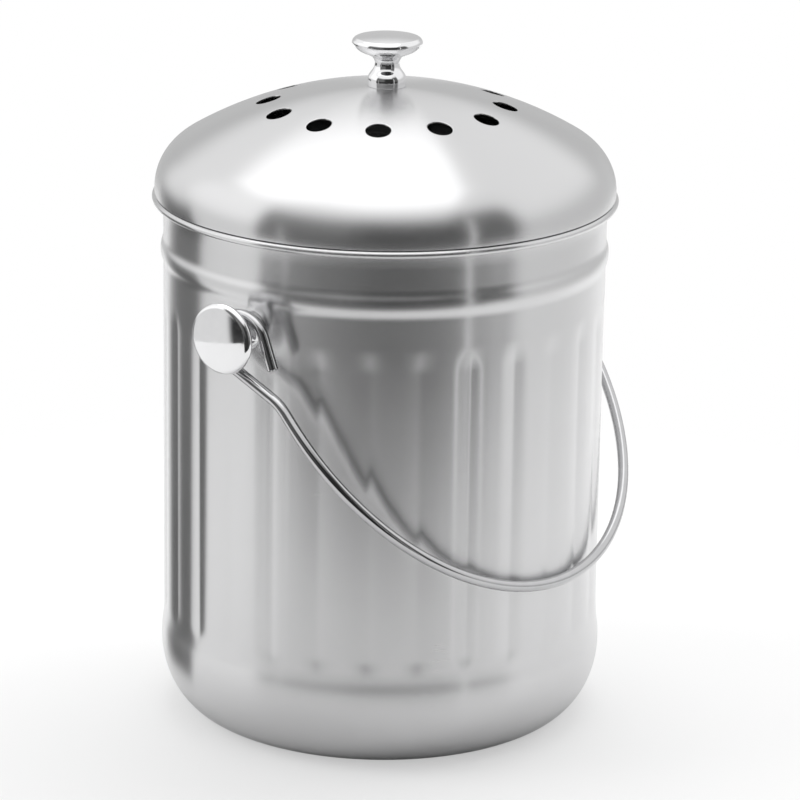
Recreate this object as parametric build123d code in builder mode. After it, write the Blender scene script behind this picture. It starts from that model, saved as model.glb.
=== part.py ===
"""Stainless steel compost caddy: a fluted, drawn pail with a swinging wire bail and a lift-off
domed lid that holds a charcoal filter behind a ring of vents.

Millimetres, +Z up. The origin is the centre of the pail's base, on the surface it stands on.
The bail turns about an axis along X and hangs down the front of the pail, on the -Y side.
"""

import os
from math import acos, asin, cos, degrees, radians, sin, sqrt, tan

from build123d import *

os.makedirs("parts", exist_ok=True)

# Clearances
gap = 0.3  # between pieces that move past or rest on each other
running = 0.05  # radial, between the bail's eye and the neck it turns on
loose = 0.1  # radial, round screws and between pressed-in rings
sheet = 0.8  # wall of every drawn steel piece

# Pail
pail_height = 219.5
wall_radius = 90.4  # outside of the plain wall and of the neck
heel_swell = 1.0  # how far the heel stands out past the wall
heel_run = 22.0  # the base's rounded corner, measured across
heel_rise = 30.0  # and up
heel_blend = 14.0  # height over which the heel runs back into the wall
foot_inner_radius = 58.0  # inside edge of the ring the pail stands on
foot_lift = 1.2  # how far the base is pressed up inside that ring
foot_slope = 3.0
rim_overhang = 4.6  # rolled edge, past the wall
rim_thickness = 3.0
mouth_round = 2.0  # inside edge of the rolled rim
neck_bead_drop = 23.0  # from the rim down to the centre of the swaged bead
neck_bead_width = 13.0
neck_bead_swell = 1.1

# Flutes: shallow convex panels drawn into the wall, with a crease between neighbours
flute_count = 28
flute_drop = 43.8  # from the rim down to the upper end of the panels
flute_foot = 2.5  # how far their lower end reaches down over the heel's blend
flute_depth = 0.65
flute_fade = 7.0  # length over which each crease runs out to a point
flute_blend = 0.03  # how far the panel's arc would pass outside the wall at its crown

# Lid
lid_setback = 1.0  # how far the lid's edge stays inside the rim's
lid_skirt = 1.8  # straight edge below the shoulder
shoulder_radius = 22.5
crown_radius = 161.0
vent_count = 12
vent_diameter = 10.2
vent_ring_radius = 48.0
vent_turn = 1.75  # degrees that the vents are turned from the front
collar_drop = 10.8  # how far the lid's collar reaches into the neck
collar_clearance = 0.6
collar_lift = 0.8  # height of the collar's flange above the lid's edge

# Filter under the lid
filter_radius = 85.6
filter_thickness = 6.0
holder_wall = 2.0
holder_ledge = 10.0
holder_floor = 1.6
holder_rise = 1.4  # wall of the holder above the filter
spoke_count = 6
spoke_width = 4.0
spoke_hub_radius = 14.0
spoke_hub_width = 5.0

# Turned knob: one on the lid, and one on each side for the bail to turn on
knob_height = 20.7
knob_head_radius = 14.3
knob_crown = 0.7  # how far the head's face is domed
knob_rim_round = 1.5
knob_neck_radius = 5.0
knob_neck_height = 9.2  # height of the narrowest point
knob_under_step = 2.4  # from the neck to where the head's underside begins
knob_under_rise = 3.55
knob_under_slope = radians(24)
knob_bowl_start = 3.8  # from the head's edge in to where its underside curves up
knob_base_radius = 7.8
knob_base_rim = 2.8
knob_seat_margin = 0.7

# Screws and washers
screw_radius = 1.75
screw_reach = 8.0  # length inside the knob
screw_head_radius = 3.5
screw_head_height = 2.4
screw_head_round = 1.5
cross_length = 3.8
cross_width = 0.9
cross_depth = 1.2
washer_radius = 5.5
washer_thickness = 1.0

# Bail
pivot_drop = 37.5  # from the rim down to the axis that the bail turns on
bail_wire = 4.5
bail_leg = 43.3  # straight run from the pivot to the start of the bow
eye_radius = 11.5  # to the centre of the wire
eye_tail = 13.5  # straight end of the wire
eye_tail_turn = 20.0  # degrees the tail leans in towards the leg
kink_distance = 33.0  # from the pivot to the bend that leads into the eye
kink_radius = 20.0
wire_end_chamfer = 0.5

# Worked out from the sizes above
wall_inner_radius = wall_radius - sheet
heel_radius = wall_radius + heel_swell
foot_radius = heel_radius - heel_run
rim_radius = wall_radius + rim_overhang
heel_top = heel_rise + heel_blend
neck_bead_height = pail_height - neck_bead_drop
flute_bottom = heel_top - flute_foot
flute_top = pail_height - flute_drop
pivot_height = pail_height - pivot_drop
lid_radius = rim_radius - lid_setback
lid_edge = pail_height + gap
shoulder_height = lid_edge + lid_skirt
shoulder_reach = crown_radius - shoulder_radius  # between the centres of the crown's and shoulder's arcs
shoulder_inset = lid_radius - shoulder_radius
crown_centre = shoulder_height - sqrt(shoulder_reach**2 - shoulder_inset**2)
shoulder_angle = degrees(acos(shoulder_inset / shoulder_reach))
knob_seat_radius = knob_base_radius + knob_seat_margin
knob_seat = crown_centre + sqrt(crown_radius**2 - knob_seat_radius**2)
screw_hole_radius = screw_radius + loose
collar_radius = wall_inner_radius - collar_clearance
collar_inner_radius = collar_radius - sheet
collar_bottom = pail_height - collar_drop
collar_flange = lid_edge + collar_lift
holder_radius = collar_inner_radius - loose
holder_bottom = collar_bottom + gap
filter_bottom = holder_bottom + holder_floor
bail_half_width = wall_radius + knob_neck_height
bail_reach = bail_leg + bail_half_width
bail_rest_angle = acos((wall_radius + gap + bail_wire / 2) / bail_reach)
eye_offset = eye_radius - bail_wire / 2 - knob_neck_radius - running


def save(part, name):
    part.label = name
    export_step(part, "parts/" + name + ".step")


# Pail ------------------------------------------------------------------------------------------


def pail_outline(inset):
    """Half section of the pail up to the rim's underside, drawn that far inside the outer skin."""
    wall = wall_radius - inset
    heel = heel_radius - inset
    bead_bottom = neck_bead_height - neck_bead_width / 2
    bead_top = neck_bead_height + neck_bead_width / 2
    swell = wall + neck_bead_swell
    with BuildLine() as outline:
        Polyline(
            (0, pail_height),
            (0, foot_lift + inset),
            (foot_inner_radius - foot_slope, foot_lift + inset),
            (foot_inner_radius, inset),
            (foot_radius, inset),
        )
        EllipticalCenterArc((foot_radius, heel_rise), heel_run - inset, heel_rise - inset, 270, arc_size=90)
        Bezier(
            (heel, heel_rise),
            (heel, heel_rise + heel_blend / 2),
            (wall, heel_rise + heel_blend / 2),
            (wall, heel_top),
        )
        Line((wall, heel_top), (wall, bead_bottom))
        Bezier(
            (wall, bead_bottom),
            (wall, (bead_bottom + neck_bead_height) / 2),
            (swell, (bead_bottom + neck_bead_height) / 2),
            (swell, neck_bead_height),
        )
        Bezier(
            (swell, neck_bead_height),
            (swell, (bead_top + neck_bead_height) / 2),
            (wall, (bead_top + neck_bead_height) / 2),
            (wall, bead_top),
        )
        Polyline((wall, bead_top), (wall, pail_height), (0, pail_height))
    return outline.line


def flute_cutter(inset):
    """Ring that leaves the panels standing, with its ends faded so that each crease runs out."""
    crown = wall_radius + flute_blend - inset
    valley = wall_radius - flute_depth - inset
    skin = wall_radius - inset
    pitch = 360 / flute_count
    with BuildPart() as cutter:
        with BuildSketch(Plane.XY.offset(flute_bottom)):
            Circle(wall_radius + sheet)
            with BuildSketch(mode=Mode.SUBTRACT):
                with BuildLine():
                    for panel in range(flute_count):
                        middle = panel * pitch - 90
                        ThreePointArc(
                            Vector(valley, 0).rotate(Axis.Z, middle - pitch / 2),
                            Vector(crown, 0).rotate(Axis.Z, middle),
                            Vector(valley, 0).rotate(Axis.Z, middle + pitch / 2),
                        )
                make_face()
        extrude(amount=flute_top - flute_bottom)
        with BuildSketch(Plane.XZ):
            with BuildLine():
                Polyline(
                    (skin, flute_bottom),
                    (skin - 1.5 * flute_depth, flute_bottom + flute_fade),
                    (skin - 1.5 * flute_depth, flute_top - flute_fade),
                    (skin, flute_top),
                    (wall_radius + 2 * sheet, flute_top),
                    (wall_radius + 2 * sheet, flute_bottom),
                    close=True,
                )
            make_face()
        revolve(axis=Axis.Z, mode=Mode.INTERSECT)
    return cutter.part


def pail_skin(inset):
    """The pail as a filled form, drawn that far inside the outer skin, with its creases."""
    with BuildPart() as skin:
        with BuildSketch(Plane.XZ):
            add(pail_outline(inset))
            make_face()
        revolve(axis=Axis.Z)
        add(flute_cutter(inset), mode=Mode.SUBTRACT)
    return skin.part


with BuildPart() as pail_body:
    add(pail_skin(0))
    # rolled rim, closed on itself
    with BuildSketch(Plane.XZ):
        with BuildLine():
            bead = rim_thickness / 2
            Line((wall_inner_radius, pail_height), (rim_radius - bead, pail_height))
            ThreePointArc(
                (rim_radius - bead, pail_height),
                (rim_radius, pail_height - bead),
                (rim_radius - bead, pail_height - rim_thickness),
            )
            Polyline(
                (rim_radius - bead, pail_height - rim_thickness),
                (wall_inner_radius, pail_height - rim_thickness),
                (wall_inner_radius, pail_height),
            )
        make_face()
    revolve(axis=Axis.Z)
    add(pail_skin(sheet), mode=Mode.SUBTRACT)
    # the mouth's edge rolls over into the rim
    fillet(
        pail_body.edges()
        .filter_by(GeomType.CIRCLE)
        .filter_by(lambda e: abs(e.radius - wall_inner_radius) < sheet / 4)
        .sort_by(Axis.Z)[-1:],
        mouth_round,
    )
    for side in (-1, 1):
        with Locations(Plane(origin=(side * wall_radius, 0, pivot_height), z_dir=(side, 0, 0))):
            Hole(screw_hole_radius, depth=2 * sheet)

save(pail_body.part, "pail_body")


# Knobs, screws and washers -----------------------------------------------------------------------


def section_plane(seat):
    """Plane through a seat's axis: its x runs outward from the axis, its y along it."""
    return Plane(origin=seat.origin, x_dir=seat.x_dir, z_dir=-seat.y_dir)


def turned_knob(seat):
    """Mushroom knob standing on the seat, with a blind hole for its screw."""
    under_radius = knob_neck_radius + knob_under_step
    under_height = knob_neck_height + knob_under_rise
    bowl_radius = knob_head_radius - knob_bowl_start
    bowl_height = under_height + (bowl_radius - under_radius) * tan(knob_under_slope)
    face_radius = knob_head_radius - knob_rim_round
    face_height = knob_height - knob_crown
    crown = (face_radius**2 + knob_crown**2) / (2 * knob_crown)
    crown_edge = degrees(acos(face_radius / crown))
    with BuildPart() as knob:
        with BuildSketch(section_plane(seat)):
            with BuildLine():
                Polyline((0, knob_height), (0, 0), (knob_base_radius, 0), (knob_base_radius, knob_base_rim))
                Spline(
                    (knob_base_radius, knob_base_rim),
                    (knob_neck_radius, knob_neck_height),
                    tangents=((0, 1), (0, 1)),
                )
                Spline(
                    (knob_neck_radius, knob_neck_height),
                    (under_radius, under_height),
                    tangents=((0, 1), (cos(knob_under_slope), sin(knob_under_slope))),
                )
                Line((under_radius, under_height), (bowl_radius, bowl_height))
                TangentArc(
                    (bowl_radius, bowl_height),
                    (knob_head_radius, face_height - knob_rim_round),
                    tangent=(cos(knob_under_slope), sin(knob_under_slope)),
                )
                RadiusArc(
                    (knob_head_radius, face_height - knob_rim_round),
                    (face_radius, face_height),
                    -knob_rim_round,
                )
                CenterArc((0, knob_height - crown), crown, crown_edge, 90 - crown_edge)
            make_face()
        revolve(axis=Axis(seat.origin, seat.z_dir))
        with BuildSketch(seat):
            Circle(screw_hole_radius)
        extrude(amount=screw_reach + 2, mode=Mode.SUBTRACT)
    return knob.part


def pan_screw(seat, grip):
    """Cross-head screw whose head bears on the seat; its shank runs along the seat's axis."""
    with BuildPart() as screw:
        with BuildSketch(section_plane(seat)):
            with BuildLine():
                Polyline(
                    (0, -screw_head_height),
                    (0, grip),
                    (screw_radius - 0.5, grip),
                    (screw_radius, grip - 0.8),
                    (screw_radius, 0),
                    (screw_head_radius, 0),
                    (screw_head_radius, screw_head_round - screw_head_height),
                )
                RadiusArc(
                    (screw_head_radius, screw_head_round - screw_head_height),
                    (screw_head_radius - screw_head_round, -screw_head_height),
                    screw_head_round,
                )
                Line((screw_head_radius - screw_head_round, -screw_head_height), (0, -screw_head_height))
            make_face()
        revolve(axis=Axis(seat.origin, seat.z_dir))
        with BuildSketch(seat.offset(-screw_head_height)):
            Rectangle(cross_length, cross_width)
            Rectangle(cross_width, cross_length)
        extrude(amount=cross_depth, mode=Mode.SUBTRACT)
    return screw.part


def washer(seat):
    """Flat washer whose far face lies on the seat."""
    with BuildPart() as ring:
        with BuildSketch(seat.offset(-washer_thickness)):
            Circle(washer_radius)
            Circle(screw_hole_radius, mode=Mode.SUBTRACT)
        extrude(amount=washer_thickness)
    return ring.part


lid_knob_seat = Plane(origin=(0, 0, knob_seat), x_dir=(1, 0, 0), z_dir=(0, 0, 1))
save(turned_knob(lid_knob_seat), "lid_knob")
save(washer(lid_knob_seat.offset(-sheet)), "knob_washer")
save(pan_screw(lid_knob_seat.offset(-sheet - washer_thickness), sheet + washer_thickness + screw_reach), "knob_screw")

# inside the pail the flat washer bears on the curved wall along its two ends
washer_seat_drop = wall_radius - sqrt(wall_inner_radius**2 - washer_radius**2)
for name, side in (("left", -1), ("right", 1)):
    pivot_seat = Plane(origin=(side * wall_radius, 0, pivot_height), x_dir=(0, 0, 1), z_dir=(side, 0, 0))
    inner_seat = pivot_seat.offset(-washer_seat_drop)
    grip = washer_seat_drop + washer_thickness + screw_reach
    save(turned_knob(pivot_seat), "pivot_knob_" + name)
    save(washer(inner_seat), "pivot_washer_" + name)
    save(pan_screw(inner_seat.offset(-washer_thickness), grip), "pivot_screw_" + name)


# Lid ---------------------------------------------------------------------------------------------


def dome(inset):
    """The lid's domed form, filled, drawn that far inside its outer skin."""
    seat = knob_seat - inset
    crown = crown_radius - inset
    seat_radius = sqrt(crown**2 - (seat - crown_centre) ** 2)
    seat_angle = degrees(acos(seat_radius / crown))
    with BuildPart() as form:
        with BuildSketch(Plane.XZ):
            with BuildLine():
                Polyline((seat_radius, seat), (0, seat), (0, lid_edge), (lid_radius - inset, lid_edge))
                Line((lid_radius - inset, lid_edge), (lid_radius - inset, shoulder_height))
                CenterArc(
                    (lid_radius - shoulder_radius, shoulder_height), shoulder_radius - inset, 0, shoulder_angle
                )
                CenterArc((0, crown_centre), crown, shoulder_angle, seat_angle - shoulder_angle)
            make_face()
        revolve(axis=Axis.Z)
    return form.part


with BuildPart() as lid_shell:
    add(dome(0))
    add(dome(sheet), mode=Mode.SUBTRACT)
    with BuildSketch(Plane.XY.offset(lid_edge)):
        with PolarLocations(vent_ring_radius, vent_count, start_angle=vent_turn - 90):
            Circle(vent_diameter / 2)
        Circle(screw_hole_radius)
    extrude(amount=knob_seat - lid_edge + sheet, mode=Mode.SUBTRACT)

save(lid_shell.part, "lid_shell")

with BuildPart() as lid_collar:
    with BuildSketch(Plane.XZ):
        with BuildLine():
            Polyline(
                (collar_inner_radius, collar_bottom),
                (collar_radius, collar_bottom),
                (collar_radius, collar_flange),
                (lid_radius - sheet - loose, collar_flange),
                (lid_radius - sheet - loose, collar_flange + sheet),
                (collar_inner_radius, collar_flange + sheet),
                close=True,
            )
        make_face()
    revolve(axis=Axis.Z)

save(lid_collar.part, "lid_collar")

with BuildPart() as filter_holder:
    with BuildSketch(Plane.XY.offset(holder_bottom)):
        Circle(holder_radius)
        Circle(holder_radius - holder_wall - holder_ledge, mode=Mode.SUBTRACT)
        with BuildSketch():
            with PolarLocations(0, spoke_count):
                Rectangle(holder_radius - holder_wall, spoke_width, align=(Align.MIN, Align.CENTER))
        Circle(spoke_hub_radius)
        Circle(spoke_hub_radius - spoke_hub_width, mode=Mode.SUBTRACT)
    extrude(amount=holder_floor)
    with BuildSketch(Plane.XY.offset(holder_bottom)):
        Circle(holder_radius)
        Circle(holder_radius - holder_wall, mode=Mode.SUBTRACT)
    extrude(amount=holder_floor + filter_thickness + holder_rise)

save(filter_holder.part, "filter_holder")

with BuildPart() as charcoal_filter:
    with BuildSketch(Plane.XY.offset(filter_bottom)):
        Circle(filter_radius)
    extrude(amount=filter_thickness)

save(charcoal_filter.part, "charcoal_filter")


# Bail --------------------------------------------------------------------------------------------

along_leg = Vector(0, -cos(bail_rest_angle), -sin(bail_rest_angle))
bow_plane = Plane(
    origin=(0, 0, pivot_height), x_dir=(1, 0, 0), z_dir=(0, sin(bail_rest_angle), -cos(bail_rest_angle))
)
eye_plane = Plane(origin=(bail_half_width, 0, pivot_height), x_dir=along_leg, z_dir=(-1, 0, 0))

kink_angle = asin(eye_radius / (kink_distance - eye_offset))
tangent_run = sqrt((kink_distance - eye_offset) ** 2 - eye_radius**2)
eye_start = 270 + degrees(kink_angle)
eye_end = 90 - eye_tail_turn

with BuildLine(bow_plane) as bow:
    CenterArc((0, bail_leg), bail_half_width, 90, -90)
with BuildLine(eye_plane) as eye:
    FilletPolyline(
        (bail_leg, 0),
        (kink_distance, 0),
        (kink_distance - tangent_run * cos(kink_angle), -tangent_run * sin(kink_angle)),
        radius=kink_radius,
    )
    hook = CenterArc((eye_offset, 0), eye_radius, eye_start, eye_end - eye_start)
    PolarLine(hook @ 1, eye_tail, direction=hook % 1)

with BuildPart() as bail_handle:
    half_path = Wire(bow.edges() + eye.edges())
    with BuildSketch(Plane(origin=bow.line @ 0, z_dir=bow.line % 0)):
        Circle(bail_wire / 2)
    sweep(path=half_path)
    tail_end = bail_handle.faces().filter_by(GeomType.PLANE).sort_by(Axis.X)[-1]
    chamfer(tail_end.edges(), wire_end_chamfer)
    mirror(about=Plane.YZ)

save(bail_handle.part, "bail_handle")

print("bail rests", round(degrees(bail_rest_angle), 2), "degrees below level, reach", round(bail_reach, 2))
print("bail sweeps", round(180 + 2 * degrees(bail_rest_angle), 2), "degrees from front to back")
print("lid top", round(knob_seat, 2), "height over the knob", round(knob_seat + knob_height, 2))
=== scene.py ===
from math import acos, asin, atan2, cos, degrees, hypot, pi, radians, sin, sqrt, tan

import bmesh
import bpy
from mathutils import Matrix, Quaternion, Vector


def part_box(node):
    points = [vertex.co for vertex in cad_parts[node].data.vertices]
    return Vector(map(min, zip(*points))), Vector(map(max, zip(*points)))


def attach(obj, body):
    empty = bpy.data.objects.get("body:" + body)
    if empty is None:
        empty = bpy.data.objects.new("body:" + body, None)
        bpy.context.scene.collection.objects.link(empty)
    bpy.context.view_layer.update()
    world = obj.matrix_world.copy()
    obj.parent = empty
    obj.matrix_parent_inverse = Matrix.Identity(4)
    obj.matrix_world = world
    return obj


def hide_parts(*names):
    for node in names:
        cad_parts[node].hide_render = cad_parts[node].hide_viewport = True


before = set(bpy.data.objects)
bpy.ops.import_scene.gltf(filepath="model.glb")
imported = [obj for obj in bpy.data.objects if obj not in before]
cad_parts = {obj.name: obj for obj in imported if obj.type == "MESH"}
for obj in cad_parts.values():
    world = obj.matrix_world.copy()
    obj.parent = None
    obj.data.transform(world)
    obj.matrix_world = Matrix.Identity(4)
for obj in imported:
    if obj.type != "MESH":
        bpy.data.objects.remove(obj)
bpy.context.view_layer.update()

# Fluted steel compost pail. The sizes of its pieces are in millimetres here, and the studio's in metres, as
# Blender has them. +Z is up, and the bail hangs down the front of the pail, on the -Y side.
mm = 0.001
print("frame loaded, nodes:", len(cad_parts))

sheet = 0.8  # thickness of every drawn steel piece
gap = 0.3  # between pieces that rest on each other
samePoint = 1e-4  # points nearer to each other than this are one point
weldDistance = 0.001  # corners of a mesh nearer than this become one
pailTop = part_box("pail_body")[1].z / mm
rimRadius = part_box("pail_body")[1].x / mm
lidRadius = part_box("lid_shell")[1].x / mm
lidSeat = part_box("lid_knob")[0].z / mm  # the flat on the dome that the lid's knob stands on
pivotHeight = (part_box("pivot_knob_left")[0].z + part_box("pivot_knob_left")[1].z) / 2 / mm


# outlines, as lists of points in a plane


def arc(centre, radius, start, end, count):
    points = []
    for step in range(count + 1):
        angle = radians(start + (end - start) * step / count)
        points.append((centre[0] + radius * cos(angle), centre[1] + radius * sin(angle)))
    return points


def bezier(a, b, c, d, count):
    points = []
    for step in range(count + 1):
        t = step / count
        shares = ((1 - t) ** 3, 3 * t * (1 - t) ** 2, 3 * t * t * (1 - t), t**3)
        x = sum(share * point[0] for share, point in zip(shares, (a, b, c, d)))
        y = sum(share * point[1] for share, point in zip(shares, (a, b, c, d)))
        points.append((x, y))
    return points


def rounded(corners, count=4):  # a polyline whose corners (x, y, radius) are rounded
    points = []
    for index, corner in enumerate(corners):
        here = Vector(corner[:2])
        radius = corner[2] if len(corner) > 2 else 0
        if radius == 0 or index in (0, len(corners) - 1):
            points.append(tuple(here))
            continue
        back = (Vector(corners[index - 1][:2]) - here).normalized()
        ahead = (Vector(corners[index + 1][:2]) - here).normalized()
        half = back.angle(ahead) / 2
        centre = here + (back + ahead).normalized() * radius / sin(half)
        start = here + back * radius / tan(half) - centre
        end = here + ahead * radius / tan(half) - centre
        turn = start.angle_signed(end)
        for step in range(count + 1):
            angle = -turn * step / count
            points.append((
                centre.x + start.x * cos(angle) - start.y * sin(angle),
                centre.y + start.x * sin(angle) + start.y * cos(angle),
            ))
    return points


def joined(*runs):  # one outline from runs that meet end to end
    outline = []
    for run in runs:
        for point in run:
            if not outline or hypot(point[0] - outline[-1][0], point[1] - outline[-1][1]) > samePoint:
                outline.append(tuple(point))
    return outline


def makeMesh(name, corners, faces, material, body, nodes, place=None, sharpAngle=38):
    work = bmesh.new()
    made = [work.verts.new(Vector(corner) * mm) for corner in corners]
    for face in faces:
        work.faces.new([made[index] for index in face])
    bmesh.ops.remove_doubles(work, verts=work.verts, dist=weldDistance * mm)
    bmesh.ops.recalc_face_normals(work, faces=work.faces)
    if place:
        work.transform(place)
    data = bpy.data.meshes.new(name)
    work.to_mesh(data)
    work.free()
    data.shade_smooth()
    data.set_sharp_from_angle(angle=radians(sharpAngle))
    piece = bpy.data.objects.new(name, data)
    bpy.context.scene.collection.objects.link(piece)
    data.materials.append(material)
    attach(piece, body)
    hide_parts(*nodes)


def spun(outline, steps, closed=False, firstAngle=0.0, shape=None):
    # an outline of (radius, height) turned round Z; shape may change the radius at an angle
    corners = []
    faces = []
    rings = []
    for point in outline:
        if point[0] < samePoint:  # on the axis
            rings.append([len(corners)])
            corners.append((0, 0, point[1]))
            continue
        ring = []
        for step in range(steps):
            angle = firstAngle + 2 * pi * step / steps
            radius = shape(angle, point) if shape else point[0]
            ring.append(len(corners))
            corners.append((radius * cos(angle), radius * sin(angle), point[1]))
        rings.append(ring)
    pairs = list(zip(rings, rings[1:]))
    if closed:
        pairs.append((rings[-1], rings[0]))
    for here, there in pairs:
        for step in range(steps):
            after = (step + 1) % steps
            if len(here) == 1:
                faces.append((here[0], there[after], there[step]))
            elif len(there) == 1:
                faces.append((here[step], here[after], there[0]))
            else:
                faces.append((here[step], here[after], there[after], there[step]))
    return corners, faces


def tube(path, radius, sides, chamfer):
    # round wire along a path of points, each ring turned as little as possible from the last
    corners = []
    faces = []
    ahead = (path[1] - path[0]).normalized()
    side = ahead.orthogonal().normalized()
    rings = []
    for index, point in enumerate(path):
        before = path[max(index - 1, 0)]
        after = path[min(index + 1, len(path) - 1)]
        turned = (after - before).normalized()
        side = ahead.rotation_difference(turned) @ side
        ahead = turned
        up = ahead.cross(side)
        rings.append((point, side.copy(), up.copy(), radius))
    for end, step in ((0, 1), (len(path) - 1, -1)):  # a narrower ring first and last makes chamfered ends
        point, side, up, _ = rings[end]
        rings[end] = (point, side, up, radius - chamfer)
        inward = (path[end + step] - point).normalized() * chamfer
        rings.insert(end + max(step, 0), (point + inward, side, up, radius))
    for point, side, up, reach in rings:
        for step in range(sides):
            angle = 2 * pi * step / sides
            corners.append(point + (side * cos(angle) + up * sin(angle)) * reach)
    for ring in range(len(rings) - 1):
        for step in range(sides):
            after = (step + 1) % sides
            first = ring * sides
            faces.append((first + step, first + after, first + sides + after, first + sides + step))
    faces.append(tuple(range(sides)))
    faces.append(tuple(range(len(corners) - sides, len(corners))))
    return corners, faces


class Wire:  # an output socket of a node tree; sums on wires add Math nodes
    def __init__(self, tree, socket=None):
        self.tree = tree
        self.socket = socket

    def node(self, kind, settings=None, feeds=None, output=0):
        made = self.tree.nodes.new("ShaderNode" + kind)
        for name, value in (settings or {}).items():
            setattr(made, name, value)
        for name, value in (feeds or {}).items():
            if isinstance(value, Wire):
                self.tree.links.new(value.socket, made.inputs[name])
            else:
                made.inputs[name].default_value = value
        return Wire(self.tree, made.outputs[output] if made.outputs else None)

    def sibling(self, name):  # another output of the same node
        return Wire(self.tree, self.socket.node.outputs[name])

    def maths(self, operation, first, second=0.0):
        return self.node("Math", {"operation": operation}, {0: first, 1: second})

    def __add__(self, other):
        return self.maths("ADD", self, other)

    def __radd__(self, other):
        return self.maths("ADD", other, self)

    def __sub__(self, other):
        return self.maths("SUBTRACT", self, other)

    def __rsub__(self, other):
        return self.maths("SUBTRACT", other, self)

    def __mul__(self, other):
        return self.maths("MULTIPLY", self, other)

    def __rmul__(self, other):
        return self.maths("MULTIPLY", other, self)

    def __truediv__(self, other):
        return self.maths("DIVIDE", self, other)

    def __rtruediv__(self, other):
        return self.maths("DIVIDE", other, self)

    def __pow__(self, other):
        return self.maths("POWER", self, other)

    def __rpow__(self, other):
        return self.maths("POWER", other, self)


def split(vector):
    x = vector.node("SeparateXYZ", None, {"Vector": vector})
    return x, x.sibling("Y"), x.sibling("Z")


def ramped(value, low, high, lowResult=0.0, highResult=1.0):  # smooth step from low to high
    return value.node("MapRange", {"interpolation_type": "SMOOTHSTEP"}, {
        "Value": value, "From Min": low, "From Max": high, "To Min": lowResult, "To Max": highResult,
    })


def noise(place, scale, detail=3.0, roughness=0.5):
    return place.node("TexNoise", None, {
        "Vector": place, "Scale": scale, "Detail": detail, "Roughness": roughness,
    })


def blended(factor, first, second):  # a colour between two colours
    feeds = {0: factor, 6: (*first, 1.0), 7: (*second, 1.0)}
    return factor.node("Mix", {"data_type": "RGBA"}, feeds, output=2)


def bumped(height, depth):
    return height.node("Bump", None, {"Height": height, "Distance": depth * mm, "Strength": 1.0})


def newMaterial(name, shade, look):
    material = bpy.data.materials.new(name)
    material.use_nodes = True
    material.node_tree.nodes.clear()
    start = Wire(material.node_tree)
    surface = shade(start, look)
    start.node("OutputMaterial", None, {"Surface": surface})
    return material


def brushedSteel(start, look):
    # brush lines run round the axis: fine across them, long along them
    place = start.node("TexCoord", output="Object")
    x, y, z = split(place)
    radius = (x * x + y * y) ** 0.5
    across = radius * look["radialShare"] + z
    along = 1 / (look["lineLength"] * mm)
    fine = 1 / (look["lineWidth"] * mm)
    lines = place.node("CombineXYZ", None, {"X": x * along, "Y": y * along, "Z": across * fine})
    brush = noise(lines, 1.0, detail=2.0, roughness=0.6)
    coarse = noise(place.node("CombineXYZ", None, {
        "X": x * along * look["coarseAlong"],
        "Y": y * along * look["coarseAlong"],
        "Z": across * fine * look["coarseAcross"],
    }), 1.0, detail=1.0)
    smudge = noise(place, 1 / (look["smudgeSize"] * mm))
    tone = brush * (1 - look["coarseTone"]) + coarse * look["coarseTone"]
    height = brush * (1 - look["coarseHeight"]) + coarse * look["coarseHeight"]
    lineRoughness = (brush - 0.5) * look["lineRoughness"]
    roughness = look["roughness"] + lineRoughness + (smudge - 0.5) * look["smudgeRoughness"]
    return start.node("BsdfPrincipled", None, {
        "Base Color": blended(tone, look["darkLine"], look["lightLine"]),
        "Metallic": 1.0,
        "Roughness": roughness,
        "Anisotropic": look["anisotropic"],
        "Anisotropic Rotation": look["anisotropicTurn"],
        "Normal": bumped(height, look["lineDepth"]),
    })


def polishedMetal(start, look):
    # a plated mirror with a little orange peel, faint polishing haze and hairline scratches
    place = start.node("TexCoord", output="Object")
    peel = noise(place, 1 / (look["peelSize"] * mm), detail=2.0)
    haze = noise(place, 1 / (look["hazeSize"] * mm), detail=4.0)
    hairs = place.node("TexWave", {"wave_type": "BANDS", "bands_direction": "DIAGONAL"}, {
        "Vector": place,
        "Scale": 1 / (look["hairGap"] * mm),
        "Distortion": look["hairBend"],
        "Detail": 4.0,
        "Detail Scale": 0.6,
    }, output="Fac")
    scratchRoughness = ramped(hairs, look["hairEdge"], 1.0) * look["scratchRoughness"]
    hazeRoughness = ramped(haze, look["hazeLow"], look["hazeHigh"]) * look["hazeRoughness"]
    return start.node("BsdfPrincipled", None, {
        "Base Color": blended(haze, look["darkTone"], look["lightTone"]),
        "Metallic": 1.0,
        "Roughness": look["roughness"] + hazeRoughness + scratchRoughness,
        "Normal": bumped(peel, look["peelDepth"]),
    })


def mouldedPlastic(start, look):
    place = start.node("TexCoord", output="Object")
    grain = noise(place, 1 / (look["grainSize"] * mm), detail=2.0)
    flow = noise(place, 1 / (look["flowSize"] * mm), detail=2.0)
    grainRoughness = (grain - 0.5) * look["grainRoughness"]
    return start.node("BsdfPrincipled", None, {
        "Base Color": blended(flow, look["darkTone"], look["lightTone"]),
        "Roughness": look["roughness"] + grainRoughness + (flow - 0.5) * look["flowRoughness"],
        "Normal": bumped(grain, look["grainDepth"]),
    })


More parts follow.
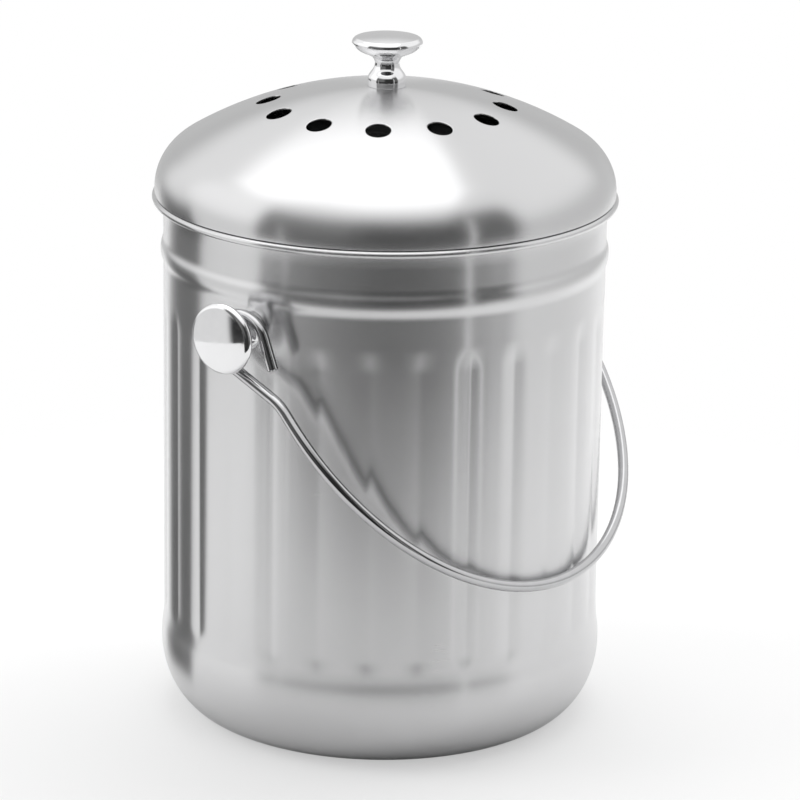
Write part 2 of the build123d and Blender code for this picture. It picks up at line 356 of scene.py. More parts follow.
def charcoalFelt(start, look):
    # needled felt: short fibres in every direction and small pits, with grey glints painted into its colour
    place = start.node("TexCoord", output="Object")
    fibres = noise(place, 1 / (look["fibreSize"] * mm), detail=5.0, roughness=0.7)
    tufts = noise(place, 1 / (look["tuftSize"] * mm))
    pits = place.node("TexVoronoi", {"feature": "DISTANCE_TO_EDGE"}, {
        "Vector": place, "Scale": 1 / (look["needleGap"] * mm),
    })
    pitDepth = ramped(pits, 0.0, look["pitWidth"]) * look["pitShare"]
    height = fibres * look["fibreShare"] + tufts * look["tuftShare"] + pitDepth
    # painted glints: the base colour turns lighter where the fibres stand highest
    paintedGlints = ramped(fibres, look["glintLow"], look["glintHigh"])
    return start.node("BsdfPrincipled", None, {
        "Base Color": blended(paintedGlints, look["darkTone"], look["lightTone"]),
        "Roughness": look["roughness"] + (fibres - 0.5) * look["fibreRoughness"],
        "Sheen Weight": look["sheen"],
        "Sheen Roughness": 0.6,
        "Normal": bumped(height, look["fuzzDepth"]),
    })


steelLook = {
    "radialShare": 1.0,  # lines stay level round the wall and circle the flat pieces
    "lineLength": 45.0,
    "lineWidth": 0.55,
    "lineDepth": 0.0005,
    "lineRoughness": 0.02,
    "coarseAlong": 0.4,  # the coarse lines' scale, as a share of the fine lines'
    "coarseAcross": 0.16,
    "coarseTone": 0.3,  # how much of the tone comes from the coarse lines
    "coarseHeight": 0.4,
    "smudgeSize": 40.0,
    "roughness": 0.26,
    "smudgeRoughness": 0.05,
    "anisotropic": 0.9,
    "anisotropicTurn": 0.25,
    "darkLine": (0.684, 0.684, 0.689),
    "lightLine": (0.694, 0.694, 0.699),
}
pailSteel = newMaterial("satin steel, pail", brushedSteel, steelLook)
lidSteel = newMaterial("satin steel, lid", brushedSteel, steelLook | {"radialShare": -1.0})
metalLook = {
    "hairBend": 14.0,
    "hairEdge": 0.985,  # only the wave's crests above this are scratches
    "hazeLow": 0.45,
    "hazeHigh": 0.75,
}
chrome = newMaterial("polished chrome", polishedMetal, metalLook | {
    "peelSize": 3.0,
    "peelDepth": 0.002,
    "hazeSize": 6.0,
    "hairGap": 1.7,
    "roughness": 0.045,
    "hazeRoughness": 0.05,
    "scratchRoughness": 0.12,
    "darkTone": (0.80, 0.80, 0.81),
    "lightTone": (0.88, 0.88, 0.885),
})
wireSteel = newMaterial("bail wire", polishedMetal, metalLook | {
    "peelSize": 1.6,
    "peelDepth": 0.004,
    "hazeSize": 5.0,
    "hairGap": 1.1,
    "roughness": 0.07,
    "hazeRoughness": 0.05,
    "scratchRoughness": 0.12,
    "darkTone": (0.50, 0.50, 0.51),
    "lightTone": (0.58, 0.58, 0.585),
})
zincPlate = newMaterial("plated fasteners", polishedMetal, metalLook | {
    "peelSize": 1.0,
    "peelDepth": 0.006,
    "hazeSize": 2.5,
    "hairGap": 0.9,
    "roughness": 0.28,
    "hazeRoughness": 0.12,
    "scratchRoughness": 0.15,
    "darkTone": (0.50, 0.51, 0.53),
    "lightTone": (0.64, 0.65, 0.66),
})
holderPlastic = newMaterial("holder plastic", mouldedPlastic, {
    "grainSize": 0.5,
    "grainDepth": 0.03,
    "grainRoughness": 0.12,
    "flowSize": 25.0,
    "flowRoughness": 0.1,
    "roughness": 0.5,
    "darkTone": (0.032, 0.032, 0.035),
    "lightTone": (0.045, 0.045, 0.05),
})
felt = newMaterial("charcoal felt", charcoalFelt, {
    "fibreSize": 0.35,
    "fibreShare": 0.5,
    "fibreRoughness": 0.15,
    "tuftSize": 2.2,
    "tuftShare": 0.35,
    "needleGap": 1.8,
    "pitWidth": 0.22,
    "pitShare": 0.15,
    "fuzzDepth": 0.5,
    "glintLow": 0.35,
    "glintHigh": 0.8,
    "roughness": 0.9,
    "sheen": 0.25,
    "darkTone": (0.008, 0.008, 0.009),
    "lightTone": (0.035, 0.035, 0.037),
})
print("materials made:", len(bpy.data.materials))


pail = {
    "wallRadius": 90.4,
    "heelSwell": 1.0,
    "heelRun": 22.0,
    "heelRise": 30.0,
    "heelBlend": 14.0,
    "footInner": 58.0,
    "footSlope": 3.0,
    "footLift": 1.2,
    "footRound": 2.5,
    "beadDrop": 23.0,
    "beadWidth": 13.0,
    "beadSwell": 1.1,
    "rimThickness": 3.0,
    "rimStart": 6.0,  # plain wall below the rim that is drawn with it
    "rimRound": 0.7,  # where the wall turns out under the rim
    "mouthRound": 2.0,
    "panels": 28,
    "panelBottom": 41.5,
    "panelDrop": 40.3,  # from the rim to the panels' upper end
    "panelDepth": 0.65,
    "panelCrown": 0.03,
    "fadeLow": 8.0,  # the runs over which a panel fades out at its two ends
    "fadeHigh": 11.0,
    "fadeBlend": 0.02,
    "creaseRound": 0.14,
    "stepsPerPanel": 20,
}
pailSteps = {
    "heel": 22,
    "blend": 14,
    "fadeLow": 6,
    "side": 18,
    "fadeHigh": 12,
    "bead": 9,
    "rim": 14,
    "mouth": 8,
}


def softMost(a, b, blend):  # the larger of two, rounded where they cross
    return (a + b + sqrt((a - b) ** 2 + blend**2)) / 2


def softLeast(a, b, blend):
    return (a + b - sqrt((a - b) ** 2 + blend**2)) / 2


def eased(share):  # 0 to 1, level at both ends
    return share * share * (3 - 2 * share)


def panelRadius(angle, inset):
    # each panel is an arc through its crown and the two creases beside it
    pitch = 2 * pi / pail["panels"]
    crown = pail["wallRadius"] + pail["panelCrown"] - inset
    crease = pail["wallRadius"] - pail["panelDepth"] - inset
    halfChord = crease * sin(pitch / 2)
    rise = crown - crease * cos(pitch / 2)
    curve = (halfChord**2 + rise**2) / (2 * rise)
    centre = crown - curve
    fromCrown = (angle + pi / 2 + pitch / 2) % pitch - pitch / 2
    reaches = []
    for turn in (fromCrown, abs(fromCrown) - pitch):  # this panel and the nearer neighbour
        reaches.append(centre * cos(turn) + sqrt(curve**2 - (centre * sin(turn)) ** 2))
    return softMost(reaches[0], reaches[1], pail["creaseRound"])


def pailRadius(angle, point):
    radius, height, inset = point
    panelTop = pailTop - pail["panelDrop"]
    if inset is None or not pail["panelBottom"] < height < panelTop:
        return radius
    skin = pail["wallRadius"] - inset
    fromBottom = (height - pail["panelBottom"]) / pail["fadeLow"]
    fromTop = (panelTop - height) / pail["fadeHigh"]
    pressed = softLeast(skin, panelRadius(angle, inset), pail["fadeBlend"])
    return min(radius, skin + (pressed - skin) * eased(min(1, fromBottom, fromTop)))


def pailSkin(inset):  # from the centre of the base up to the neck
    wall = pail["wallRadius"] - inset
    heel = wall + pail["heelSwell"]
    foot = pail["wallRadius"] + pail["heelSwell"] - pail["heelRun"]
    heelRise = pail["heelRise"]
    heelTop = heelRise + pail["heelBlend"]
    lift = pail["footLift"] + inset
    base = rounded([
        (0, lift),
        (pail["footInner"] - pail["footSlope"], lift, pail["footRound"]),
        (pail["footInner"], inset, pail["footRound"]),
        (foot, inset),
    ])
    corner = []
    for across, up in arc((0, 0), 1.0, 270, 360, pailSteps["heel"]):  # a quarter of an ellipse
        corner.append((foot + across * (pail["heelRun"] - inset), heelRise + up * (heelRise - inset)))
    middle = heelRise + pail["heelBlend"] / 2
    blend = bezier((heel, heelRise), (heel, middle), (wall, middle), (wall, heelTop), pailSteps["blend"])
    panelTop = pailTop - pail["panelDrop"]
    fadedIn = pail["panelBottom"] + pail["fadeLow"]
    fadingOut = panelTop - pail["fadeHigh"]
    side = []
    for run, start, end in (
        ("fadeLow", heelTop, fadedIn),
        ("side", fadedIn, fadingOut),
        ("fadeHigh", fadingOut, panelTop),
    ):
        count = pailSteps[run]
        side += [(wall, start + (end - start) * step / count) for step in range(1, count + 1)]
    bead = pailTop - pail["beadDrop"]
    low = bead - pail["beadWidth"] / 2
    high = bead + pail["beadWidth"] / 2
    swell = wall + pail["beadSwell"]
    lowMiddle = (low + bead) / 2
    highMiddle = (high + bead) / 2
    steps = pailSteps["bead"]
    lower = bezier((wall, low), (wall, lowMiddle), (swell, lowMiddle), (swell, bead), steps)
    upper = bezier((swell, bead), (swell, highMiddle), (wall, highMiddle), (wall, high), steps)
    return [(radius, height, inset) for radius, height in joined(base, corner, blend, side, lower, upper)]


def pailRim():  # out round the rolled rim and back in over the mouth's edge
    wall = pail["wallRadius"]
    under = pailTop - pail["rimThickness"]
    bead = pail["rimThickness"] / 2
    mouth = wall - sheet + pail["mouthRound"]
    outline = joined(
        rounded([
            (wall, under - pail["rimStart"]),
            (wall, under, pail["rimRound"]),
            (rimRadius - bead, under),
        ]),
        arc((rimRadius - bead, pailTop - bead), bead, -90, 90, pailSteps["rim"]),
        arc((mouth, pailTop - pail["mouthRound"]), pail["mouthRound"], 90, 180, pailSteps["mouth"]),
    )
    return [(radius, height, None) for radius, height in outline]


outline = pailSkin(0) + pailRim() + pailSkin(sheet)[::-1]
corners, faces = spun(outline, pail["panels"] * pail["stepsPerPanel"], firstAngle=-pi / 2, shape=pailRadius)
makeMesh("pail", corners, faces, pailSteel, "pail", ["pail_body"])
print("pail made, corners:", len(corners))


lid = {
    "skirt": 1.8,
    "shoulder": 22.5,
    "crown": 161.0,
    "edgeRound": 0.25,
    "screwHole": 2.5,
    "vents": 12,
    "ventRadius": 5.1,
    "ventRing": 48.0,
    "ventTurn": 1.75,  # degrees from the front
    "ventEdgeRound": 0.15,
    "bandInner": 40.0,  # the band of the dome that holds the vents
    "bandOuter": 56.0,
    "stepsPerVent": 16,
    "bandSteps": 8,
    "domeSteps": 12,
    "shoulderSteps": 22,
}
lidEdge = pailTop + gap
shoulderHeight = lidEdge + lid["skirt"]
shoulderReach = lid["crown"] - lid["shoulder"]
shoulderInset = lidRadius - lid["shoulder"]
crownCentre = shoulderHeight - sqrt(shoulderReach**2 - shoulderInset**2)
shoulderAngle = degrees(acos(shoulderInset / shoulderReach))


def domeHeight(radius, inset):
    return crownCentre + sqrt((lid["crown"] - inset) ** 2 - radius**2)


def domeRun(start, end, inset):  # points up the dome between two radii
    crown = lid["crown"] - inset
    startAngle = degrees(acos(start / crown))
    endAngle = degrees(acos(end / crown))
    return arc((0, crownCentre), crown, startAngle, endAngle, lid["domeSteps"])


def lidCentre(inset):  # from the vents' band in to the screw's hole
    seat = lidSeat - inset
    seatEdge = sqrt((lid["crown"] - inset) ** 2 - (seat - crownCentre) ** 2)
    dome = domeRun(lid["bandInner"], seatEdge, inset)
    return joined(dome, [(seatEdge, seat), (lid["screwHole"], seat)])


def lidSide(inset):  # from the edge of the skirt up to the vents' band
    centre = (shoulderInset, shoulderHeight)
    shoulderEnd = (lid["crown"] - inset) * cos(radians(shoulderAngle))
    return joined(
        [(lidRadius - inset, shoulderHeight)],
        arc(centre, lid["shoulder"] - inset, 0, shoulderAngle, lid["shoulderSteps"]),
        domeRun(shoulderEnd, lid["bandOuter"], inset),
    )


def ventedBand(corners, faces):
    # each vent has its own patch: rings run from the hole out to the edges of its sector
    half = lid["stepsPerVent"] // 2
    sector = 2 * pi / lid["vents"]
    inner = lid["bandInner"]
    outer = lid["bandOuter"]
    sideSteps = lid["bandSteps"]
    border = [(inner, -0.5 + step / (2 * half)) for step in range(2 * half)]
    border += [(inner + (outer - inner) * step / sideSteps, 0.5) for step in range(sideSteps)]
    border += [(outer, 0.5 - step / (2 * half)) for step in range(2 * half)]
    border += [(outer + (inner - outer) * step / sideSteps, -0.5) for step in range(sideSteps)]
    edge = lid["ventEdgeRound"]
    spread = (0.0, 0.04, 0.12, 0.24, 0.40, 0.58, 0.78, 1.0)  # places of the rings, closer near the hole
    bevel = edge * 0.3  # the first step round the hole's edge
    for vent in range(lid["vents"]):
        middle = radians(lid["ventTurn"] - 90) + vent * sector
        centre = Vector((cos(middle), sin(middle))) * lid["ventRing"]
        rings = []
        for inset, order in ((0, spread[::-1]), (sheet, spread)):
            lips = []
            for share in order:
                lips.append((share, edge, inset, 0.0))
            # a turned edge leads from this skin into the hole's wall
            lip = [(0.0, bevel, inset, bevel), (0.0, 0.0, inset, edge)]
            lips = lips + lip if inset == 0 else lip[::-1] + lips
            rings += lips
        first = len(corners)
        for share, grow, inset, sink in rings:
            for radius, place in border:
                angle = middle + place * sector
                far = Vector((cos(angle), sin(angle))) * radius
                outward = (far - centre).normalized()
                near = centre + outward * (lid["ventRadius"] + grow)
                spot = near.lerp(far, share)
                height = domeHeight(spot.length, inset) + (sink if inset else -sink)
                corners.append((spot.x, spot.y, height))
        count = len(border)
        for ring in range(len(rings) - 1):
            for step in range(count):
                after = (step + 1) % count
                low = first + ring * count
                faces.append((low + step, low + after, low + count + after, low + count + step))


steps = lid["vents"] * lid["stepsPerVent"]
firstAngle = radians(lid["ventTurn"] - 90 - 180 / lid["vents"])
edgeRound = lid["edgeRound"]
lidRuns = [
    lidCentre(0) + lidCentre(sheet)[::-1],
    joined(
        lidSide(0)[::-1],
        rounded([
            (lidRadius, shoulderHeight),
            (lidRadius, lidEdge, edgeRound),
            (lidRadius - sheet, lidEdge, edgeRound),
            (lidRadius - sheet, shoulderHeight),
        ]),
        lidSide(sheet),
    ),
]
corners = []
faces = []
for run in lidRuns:
    moreCorners, moreFaces = spun(run, steps, firstAngle=firstAngle)
    faces += [tuple(index + len(corners) for index in face) for face in moreFaces]
    corners += moreCorners
ventedBand(corners, faces)
makeMesh("lid", corners, faces, lidSteel, "lid", ["lid_shell"])
print("lid made, corners:", len(corners))

collar = {
    "drop": 10.8,
    "clearance": 0.6,
    "lift": 0.8,
    "loose": 0.1,
    "edge": 0.2,
    "bendBelow": 0.4,
    "bendAbove": 0.6,
}
ringSteps = 192  # round the collar and the filter's holder
collarRadius = pail["wallRadius"] - sheet - collar["clearance"]
flange = lidEdge + collar["lift"]
flangeReach = lidRadius - sheet - collar["loose"]
collarBottom = pailTop - collar["drop"]
outline = rounded([
    (collarRadius - sheet / 2, collarBottom),
    (collarRadius, collarBottom, collar["edge"]),
    (collarRadius, flange, collar["bendBelow"]),
    (flangeReach, flange, collar["edge"]),
    (flangeReach, flange + sheet, collar["edge"]),
    (collarRadius - sheet, flange + sheet, collar["bendAbove"]),
    (collarRadius - sheet, collarBottom, collar["edge"]),
    (collarRadius - sheet / 2, collarBottom),
])
corners, faces = spun(outline[:-1], ringSteps, closed=True)
makeMesh("collar", corners, faces, pailSteel, "lid", ["lid_collar"])

holder = {
    "wall": 2.0,
    "ledge": 10.0,
    "floor": 1.6,
    "rise": 1.4,
    "spokes": 6,
    "spokeWidth": 4.0,
    "hub": 14.0,
    "hubWidth": 5.0,
    "hubSteps": 72,
    "edge": 0.4,
    "footEdge": 0.5,
    "topEdge": 0.6,
    "spokeEdge": 0.25,
}
filterDisc = {
    "radius": 85.6,
    "thickness": 6.0,
    "edge": 1.4,
    "bulge": 0.3,
    "bulgeRound": 0.5,
    "edgeStart": 0.97,  # as a share of the radius
    "lumps": 0.22,
    # two waves per mm, each bent by a wave across it: its pitch, the bend, the bend's pitch and its start
    "waves": ((0.31, 1.7, 0.23, 0), (0.37, 1.3, 0.29, 2)),
    "rings": 40,
    "steps": 144,
}
holderRadius = collarRadius - sheet - collar["loose"]
holderBottom = collarBottom + gap
filterBottom = holderBottom + holder["floor"]
holderTop = filterBottom + filterDisc["thickness"] + holder["rise"]


def addRing(corners, faces, outline, steps):
    moreCorners, moreFaces = spun(outline[:-1], steps, closed=True)
    faces += [tuple(index + len(corners) for index in face) for face in moreFaces]
    corners += moreCorners


corners = []
faces = []
inner = holderRadius - holder["wall"]
ledgeEnd = inner - holder["ledge"]
ringSeam = (holderRadius - 2 * holder["wall"], holderBottom)  # an outline starts and ends on its flat foot
addRing(corners, faces, rounded([
    ringSeam,
    (holderRadius, holderBottom, holder["footEdge"]),
    (holderRadius, holderTop, holder["topEdge"]),
    (inner, holderTop, holder["topEdge"]),
    (inner, filterBottom, holder["edge"]),
    (ledgeEnd, filterBottom, holder["edge"]),
    (ledgeEnd, holderBottom, holder["edge"]),
    ringSeam,
]), ringSteps)
hubInner = holder["hub"] - holder["hubWidth"]
hubSeam = (holder["hub"] - holder["wall"], holderBottom)
addRing(corners, faces, rounded([
    hubSeam,
    (holder["hub"], holderBottom, holder["edge"]),
    (holder["hub"], filterBottom, holder["edge"]),
    (hubInner, filterBottom, holder["edge"]),
    (hubInner, holderBottom, holder["edge"]),
    hubSeam,
]), holder["hubSteps"])
halfSpoke = holder["spokeWidth"] / 2
spokeSection = rounded([
    (0, holderBottom),
    (halfSpoke, holderBottom, holder["edge"]),
    (halfSpoke, filterBottom, holder["spokeEdge"]),
    (-halfSpoke, filterBottom, holder["spokeEdge"]),
    (-halfSpoke, holderBottom, holder["edge"]),
    (0, holderBottom),
])[:-1]
for spoke in range(holder["spokes"]):
    turn = Matrix.Rotation(2 * pi * spoke / holder["spokes"], 3, "Z")
    ends = (holder["hub"] - holder["hubWidth"] / 2, inner - holder["ledge"] / 2)
    first = len(corners)
    for reach in ends:
        corners += [turn @ Vector((reach, side, height)) for side, height in spokeSection]
    count = len(spokeSection)
    for step in range(count):
        after = (step + 1) % count
        faces.append((first + step, first + after, first + count + after, first + count + step))
    faces.append(tuple(first + step for step in range(count)))
    faces.append(tuple(first + count + step for step in range(count)))
nodes = ["filter_holder"]
makeMesh("filterHolder", corners, faces, holderPlastic, "lid", nodes, sharpAngle=50)

filterTop = filterBottom + filterDisc["thickness"]
filterMiddle = (filterBottom + filterTop) / 2
edgeStart = filterDisc["radius"] * filterDisc["edgeStart"]
rings = filterDisc["rings"]
outline = [(0, filterBottom)]
outline += [(filterDisc["radius"] * ring / rings, filterBottom) for ring in range(1, rings - 1)]
outline += rounded([
    (edgeStart, filterBottom),
    (filterDisc["radius"], filterBottom, filterDisc["edge"]),
    (filterDisc["radius"] - filterDisc["bulge"], filterMiddle, filterDisc["bulgeRound"]),
    (filterDisc["radius"], filterTop, filterDisc["edge"]),
    (edgeStart, filterTop),
])
outline += [(filterDisc["radius"] * ring / rings, filterTop) for ring in range(rings - 2, 0, -1)]
outline.append((0, filterTop))


def bentWave(along, across, pitch, bend, bendPitch, bendStart):
    return sin(along * pitch + bend * sin(across * bendPitch + bendStart))


def sinkAt(x, y):  # how much thinner the felt is here than its disc
    first, second = filterDisc["waves"]
    return filterDisc["lumps"] * ((bentWave(x, y, *first) + bentWave(y, x, *second)) / 4 + 0.5)


corners, faces = spun(outline, filterDisc["steps"])
lumpy = []
for x, y, height in corners:  # only the upper side is lumpy, and the lower side lies flat in the holder
    lumpy.append((x, y, height - sinkAt(x, y) if height > filterMiddle else height))
makeMesh("charcoalFilter", lumpy, faces, felt, "lid", ["charcoal_filter"])
print("filter, holder and collar made")


knob = {
    "height": 20.7,
    "headRadius": 14.3,
    "crown": 0.7,
    "rimRound": 2.2,
    "neckRadius": 5.0,
    "neckHeight": 9.2,
    "underStep": 2.4,
    "underRise": 3.55,
    "underSlope": 24.0,
    "bowlStart": 3.8,  # from the head's edge in to where its underside curves up
    "baseRadius": 7.8,
    "baseRim": 2.8,
    "baseEdge": 0.25,
    "baseFace": 2.0,  # from the base's edge in to where its rounded edge is drawn from
    "flare": 0.42,  # how far up the base's curve its two ends pull, as shares of its height
    "underPull": 1.4,
    "steps": 128,
}
knobSteps = {"flare": 24, "under": 14, "bowl": 22, "rim": 10, "crown": 18}


def turnedKnob():
    neck = (knob["neckRadius"], knob["neckHeight"])
    under = (neck[0] + knob["underStep"], neck[1] + knob["underRise"])
    faceHeight = knob["height"] - knob["crown"]
    faceRadius = knob["headRadius"] - knob["rimRound"]
    crown = (faceRadius**2 + knob["crown"] ** 2) / (2 * knob["crown"])
    slope = Vector((cos(radians(knob["underSlope"])), sin(radians(knob["underSlope"]))))
    rim = Vector((knob["headRadius"], faceHeight - knob["rimRound"]))
    # the bowl's arc leaves the underside along its slope and ends at the rim
    bowl = Vector((knob["headRadius"] - knob["bowlStart"], 0))
    bowl.y = under[1] + (bowl.x - under[0]) * slope.y / slope.x
    span = rim - bowl
    normal = Vector((-slope.y, slope.x))
    curve = span.length_squared / (2 * span.dot(normal))
    centre = bowl + normal * curve
    startAngle = degrees(atan2(bowl.y - centre.y, bowl.x - centre.x))
    endAngle = degrees(atan2(rim.y - centre.y, rim.x - centre.x))
    base = (knob["baseRadius"], knob["baseRim"])
    rise = (neck[1] - base[1]) * knob["flare"]
    pull = knob["underPull"]
    rimCentre = (faceRadius, faceHeight - knob["rimRound"])
    faceCentre = (0, knob["height"] - crown)
    return joined(
        [(0, 0)],
        rounded([(base[0] - knob["baseFace"], 0), (base[0], 0, knob["baseEdge"]), base]),
        bezier(base, (base[0], base[1] + rise), (neck[0], neck[1] - rise), neck, knobSteps["flare"]),
        bezier(
            neck,
            (neck[0], neck[1] + knob["underRise"] / 2),
            (under[0] - slope.x * pull, under[1] - slope.y * pull),
            under,
            knobSteps["under"],
        ),
        arc(centre, curve, startAngle, endAngle, knobSteps["bowl"]),
        arc(rimCentre, knob["rimRound"], 0, 90, knobSteps["rim"]),
        arc(faceCentre, crown, degrees(acos(faceRadius / crown)), 90, knobSteps["crown"]),
    )


knobPlaces = {
    "lid_knob": ("lid", "lidKnob", Matrix.Translation(Vector((0, 0, lidSeat * mm)))),
}
for side, turn in (("left", -1), ("right", 1)):
    seat = Vector((turn * pail["wallRadius"], 0, pivotHeight)) * mm
    tilt = Matrix.Rotation(radians(90 * turn), 4, "Y")
    knobPlaces["pivot_knob_" + side] = ("pail", "pivotKnob" + side.title(), Matrix.Translation(seat) @ tilt)
for node, (body, name, place) in knobPlaces.items():
    corners, faces = spun(turnedKnob(), knob["steps"])
    makeMesh(name, corners, faces, chrome, body, [node], place=place)
print("knobs made:", len(knobPlaces))


bail = {
    "wire": 4.5,
    "leg": 43.3,  # from the pivot's axis to where the bow starts
    "eyeRadius": 11.5,
    "tail": 13.5,
    "tailTurn": 20.0,
    "kinkDistance": 33.0,
    "kinkRadius": 20.0,
    "running": 0.05,  # radial, between the eye and the neck it turns on
    "endChamfer": 0.5,
    "sides": 28,
    "bowSteps": 90,  # along half of the bow
    "kinkSteps": 8,
    "eyeSteps": 72,
    "tailSteps": 5,
}
halfWidth = pail["wallRadius"] + knob["neckHeight"]
reach = bail["leg"] + halfWidth
restAngle = acos((pail["wallRadius"] + gap + bail["wire"] / 2) / reach)
alongLeg = Vector((0, -cos(restAngle), -sin(restAngle)))
acrossLeg = Vector((0, -sin(restAngle), cos(restAngle)))
pivot = Vector((0, 0, pivotHeight))
eyeOffset = bail["eyeRadius"] - bail["wire"] / 2 - knob["neckRadius"] - bail["running"]
toEye = bail["kinkDistance"] - eyeOffset
kink = asin(bail["eyeRadius"] / toEye)


def halfBail():  # from the middle of the bow to the tail of the eye on the right
    path = []
    for x, y in arc((0, bail["leg"]), halfWidth, 90, 0, bail["bowSteps"]):
        path.append(pivot + Vector((x, 0, 0)) + alongLeg * y)
    kinkRun = bail["kinkRadius"] * tan(kink / 2)
    bend = (bail["kinkDistance"] + kinkRun, -bail["kinkRadius"])
    eyeStart = 270 + degrees(kink)
    eyeArc = arc((eyeOffset, 0), bail["eyeRadius"], eyeStart, 90 - bail["tailTurn"], bail["eyeSteps"])
    last = Vector(eyeArc[-1])
    leaving = (last - Vector((eyeOffset, 0))).normalized()
    leaving = Vector((leaving.y, -leaving.x))
    count = bail["tailSteps"]
    tail = [last + leaving * bail["tail"] * step / count for step in range(count + 1)]
    eye = joined(
        [(bail["leg"], 0)],
        arc(bend, bail["kinkRadius"], 90, 90 + degrees(kink), bail["kinkSteps"]),
        eyeArc,
        tail,
    )
    for x, y in eye[1:]:
        path.append(pivot + Vector((halfWidth, 0, 0)) + alongLeg * x + acrossLeg * y)
    return path


rightHalf = halfBail()
leftHalf = [Vector((-point.x, point.y, point.z)) for point in rightHalf[:0:-1]]
corners, faces = tube(leftHalf + rightHalf, bail["wire"] / 2, bail["sides"], bail["endChamfer"])
makeMesh("bail", corners, faces, wireSteel, "bail", ["bail_handle"])
print("bail made, corners:", len(corners))

# the screws and washers keep their own shapes, and only get their plating
for fastener in ("screw", "washer"):
    for node in ("knob_" + fastener, "pivot_" + fastener + "_left", "pivot_" + fastener + "_right"):
        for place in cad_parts[node].material_slots:
            place.material = zincPlate
print("fasteners finished")


studio = {
    "open": 1.03,  # white walls of the tent
    # patches seen in the metal: azimuth from the camera towards the right and half width, lower and upper
    # elevation, the softness of their sides and of their ends, all in degrees, and their brightness
    "patches": {
        "leftWall": (-90, 30, -90, 6, 6, 6, 0.78),
        "leftBox": (-92, 27, 6, 40, 5, 7, 1.22),
        "leftGap": (-130, 20, -90, -4, 2, 5, 0.10),
        "backWall": (180, 36, -90, 22, 10, 8, 0.60),
        "rightWall": (112, 47, -90, 14, 8, 10, 0.68),
        "front": (0, 65, -90, 34, 4, 8, 0.15),
        "frontMiddle": (14, 28, -90, 32, 10, 8, 0.035),
        "frontRight": (54, 16, -90, 42, 6, 8, 0.12),
        "frontLow": (0, 66, -90, -4, 2, 4, 0.03),
        "leftStrip": (-52, 0.8, -90, 6, 0.8, 4, 0.9),
        "rightStrip": (44, 0.8, -90, 30, 0.8, 4, 1.6),
    },
    "diffuseShare": 0.66,
}
overhead = {
    "tone": 1.75,
    "low": 47.0,  # elevation of its lower edge at the sides and behind the pail
    "lowInFront": 57.0,
    "turn": (0.2, 0.7),  # cosines of the azimuths between which the lower edge rises
    "soft": 5.0,
    "cut": (-75, 21),  # the box ends at a plane across this direction
    "cutSoft": 0.03,
}
floor = {
    # how far the table reaches from the pail's axis, as seen from the camera
    "front": 0.41,
    "left": 0.62,
    "right": 0.62,
    "back": 1.0,
    "fadeStart": 0.26,  # where the camera's view of it starts to turn white
    "fadeEnd": 0.42,
    "gapStart": 0.11,  # the dark gap at the left cuts into the table from here out
    "gapSoft": 0.03,
    "gapFan": -65,  # and spreads from the pail's wall at this azimuth
    "gapSideSoft": 4,
    "tone": (0.80, 0.80, 0.80),
    "grainTone": 1.02,
    "grainScale": 900.0,
    "roughness": 0.85,
    "specular": 0.2,
    "whitened": 0.5,  # what the camera sees of the table, towards white
}
lamps = {
    "overheadBox": {"azimuth": 165, "elevation": 66, "distance": 1.3, "size": (1.0, 0.8), "power": 8.5},
    "leftBox": {"azimuth": -85, "elevation": 30, "distance": 1.6, "size": (0.7, 1.0), "power": 6.4},
    "rightBox": {"azimuth": 110, "elevation": 35, "distance": 1.4, "size": (0.7, 0.9), "power": 4.0},
}


def towards(azimuth, elevation):  # unit vector, azimuth measured from the camera towards the right
    turn = radians(camera["azimuth"] + azimuth)
    rise = radians(elevation)
    return Vector((sin(turn) * cos(rise), -cos(turn) * cos(rise), sin(rise)))


offZero = 1e-9  # keeps a root off zero
belowOne = 0.999999  # the most that a cosine is let through as
justOver = 1e-6  # added to a distance, so that a share of it stays under one


def makeWorld():
    world = bpy.data.worlds.new("studio")
    bpy.context.scene.world = world
    world.use_nodes = True
    world.node_tree.nodes.clear()
    start = Wire(world.node_tree)
    x, y, z = split(start.node("TexCoord", output="Generated"))
    level = (x * x + y * y + offZero) ** 0.5
    rise = start.maths("ARCTAN2", z, level) * degrees(1)
    cut = towards(*overhead["cut"])
    side = ramped(x * cut.x + y * cut.y + z * cut.z, -overhead["cutSoft"], overhead["cutSoft"])
    ahead = towards(0, 0)
    inFront = (x * ahead.x + y * ahead.y) / level
    low = ramped(inFront, *overhead["turn"], overhead["low"], overhead["lowInFront"])
    above = ramped((rise - low) / overhead["soft"], -1, 1)
    light = studio["open"] + (overhead["tone"] - studio["open"]) * side * above
    for azimuth, half, low, high, sideSoft, endSoft, tone in studio["patches"].values():
        facing = towards(azimuth, 0)
        cosine = (x * facing.x + y * facing.y) / level
        away = start.maths("ARCCOSINE", start.maths("MINIMUM", cosine, belowOne)) * degrees(1)
        mask = ramped(away, half + sideSoft, half - sideSoft)
        mask = mask * ramped(rise, low - endSoft, low + endSoft)
        mask = mask * ramped(rise, high + endSoft, high - endSoft)
        light = light + (tone - light) * mask
    seen = start.node("LightPath", output="Is Camera Ray")
    mirrored = seen.sibling("Is Glossy Ray") + seen.sibling("Is Transmission Ray")
    mirrored = start.maths("MINIMUM", mirrored, 1.0)
    dimmed = light * (studio["diffuseShare"] + (1 - studio["diffuseShare"]) * mirrored)
    strength = dimmed + (1 - dimmed) * seen  # the camera sees plain white
    background = start.node("Background", None, {"Color": (1, 1, 1, 1), "Strength": strength})
    start.node("OutputWorld", None, {"Surface": background})


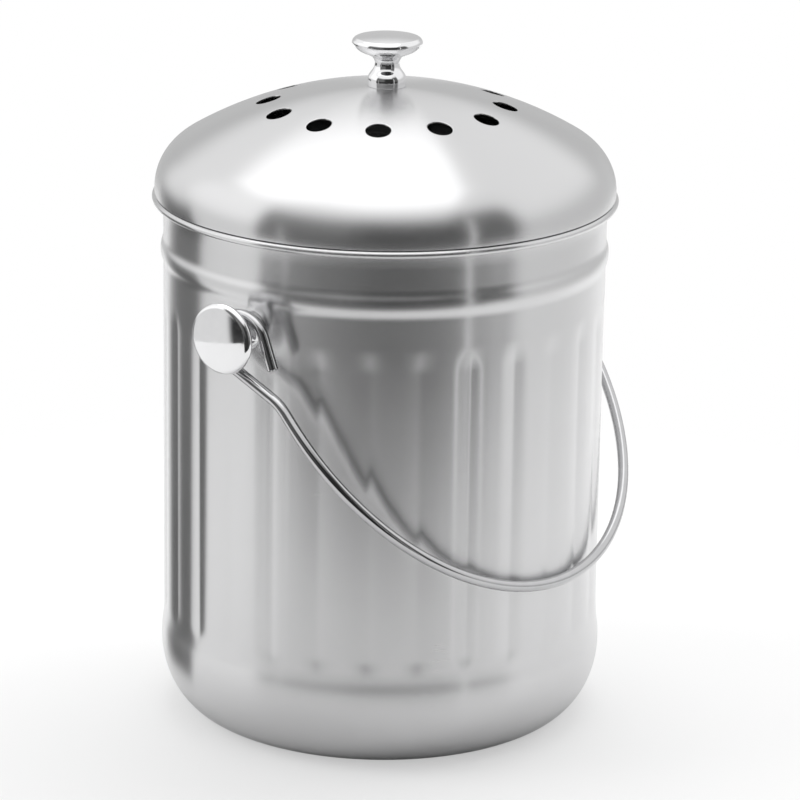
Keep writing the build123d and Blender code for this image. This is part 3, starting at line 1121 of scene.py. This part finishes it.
def makeFloor():
    # a pale table that ends in front of the pail, so that the metal shows the dark room past its edge
    def shade(start, look):
        place = start.node("TexCoord", output="Object")
        x, y, z = split(place)
        far = (x * x + y * y) ** 0.5
        seen = start.node("LightPath", output="Is Camera Ray")
        gapAzimuth, gapHalf = studio["patches"]["leftGap"][:2]
        facing = towards(gapAzimuth, 0)
        fan = towards(look["gapFan"], 0) * pail["wallRadius"] * mm
        awayX = x - fan.x
        awayY = y - fan.y
        fromFan = (awayX * awayX + awayY * awayY) ** 0.5 + justOver
        aside = start.maths("ARCCOSINE", (awayX * facing.x + awayY * facing.y) / fromFan) * degrees(1)
        soft = look["gapSideSoft"]
        gapMask = ramped(aside, gapHalf + soft, gapHalf - soft)
        gapMask = gapMask * ramped(far, look["gapStart"], look["gapStart"] + look["gapSoft"])
        gapMask = gapMask * seen.sibling("Is Glossy Ray")  # only the metal shows the gap
        fade = ramped(far, look["fadeStart"], look["fadeEnd"]) * seen
        fade = start.maths("MAXIMUM", fade, gapMask)
        grain = noise(place, look["grainScale"], detail=2.0)
        lightTone = [tone * look["grainTone"] for tone in look["tone"]]
        paper = start.node("BsdfPrincipled", None, {
            "Base Color": blended(grain, look["tone"], lightTone),
            "Roughness": look["roughness"],
            "Specular IOR Level": look["specular"],
        })
        white = start.node("Emission", None, {"Color": (1, 1, 1, 1), "Strength": 1.0})
        lifted = start.node("MixShader", None, {0: seen * look["whitened"], 1: paper, 2: white})
        clear = start.node("BsdfTransparent")
        return start.node("MixShader", None, {0: fade, 1: lifted, 2: clear})

    material = newMaterial("table", shade, floor)
    ahead = towards(0, 0)
    aside = towards(90, 0)
    corners = []
    for deep, wide in (("front", "left"), ("front", "right"), ("back", "right"), ("back", "left")):
        reach = floor[deep] if deep == "front" else -floor[deep]
        across = floor[wide] if wide == "right" else -floor[wide]
        corners.append(ahead * reach + aside * across)
    data = bpy.data.meshes.new("table")
    data.from_pydata(corners, [], [(0, 1, 2, 3)])
    data.materials.append(material)
    table = bpy.data.objects.new("table", data)
    bpy.context.scene.collection.objects.link(table)


def makeLamps():
    for name, lamp in lamps.items():
        light = bpy.data.lights.new(name, "AREA")
        light.shape = "RECTANGLE"
        light.size, light.size_y = lamp["size"]
        light.energy = lamp["power"]
        stand = bpy.data.objects.new(name, light)
        away = towards(lamp["azimuth"], lamp["elevation"])
        stand.location = Vector(camera["target"]) + away * lamp["distance"]
        stand.rotation_euler = away.to_track_quat("Z", "Y").to_euler()
        stand.visible_glossy = False  # the metal shows the world's patches, not the lamps
        bpy.context.scene.collection.objects.link(stand)


def makeCamera():
    away = towards(0, camera["elevation"])
    lens = bpy.data.cameras.new("camera")
    lens.lens = camera["lens"]
    lens.sensor_width = camera["sensor"]
    lens.clip_end = camera["clipEnd"]
    lens.shift_x, lens.shift_y = camera["shift"]
    eye = bpy.data.objects.new("camera", lens)
    eye.location = Vector(camera["target"]) + away * camera["distance"]
    turn = away.to_track_quat("Z", "Y") @ Quaternion((0, 0, 1), radians(camera["roll"]))
    eye.rotation_euler = turn.to_euler()
    bpy.context.scene.collection.objects.link(eye)
    bpy.context.scene.camera = eye


camera = {
    "target": (0, 0, 0.120),
    "azimuth": -54.5,  # degrees from the front towards the right
    "elevation": 17.4,
    "distance": 1.8,
    "lens": 195.6,
    "sensor": 36,
    "clipEnd": 20,
    "roll": 0.75,  # degrees, so that the right side of the picture lies a little lower
    "shift": (0.022, 0.031),
}
makeWorld()
makeFloor()
makeLamps()
makeCamera()
bpy.context.scene.view_settings.view_transform = "Standard"
print("studio made")
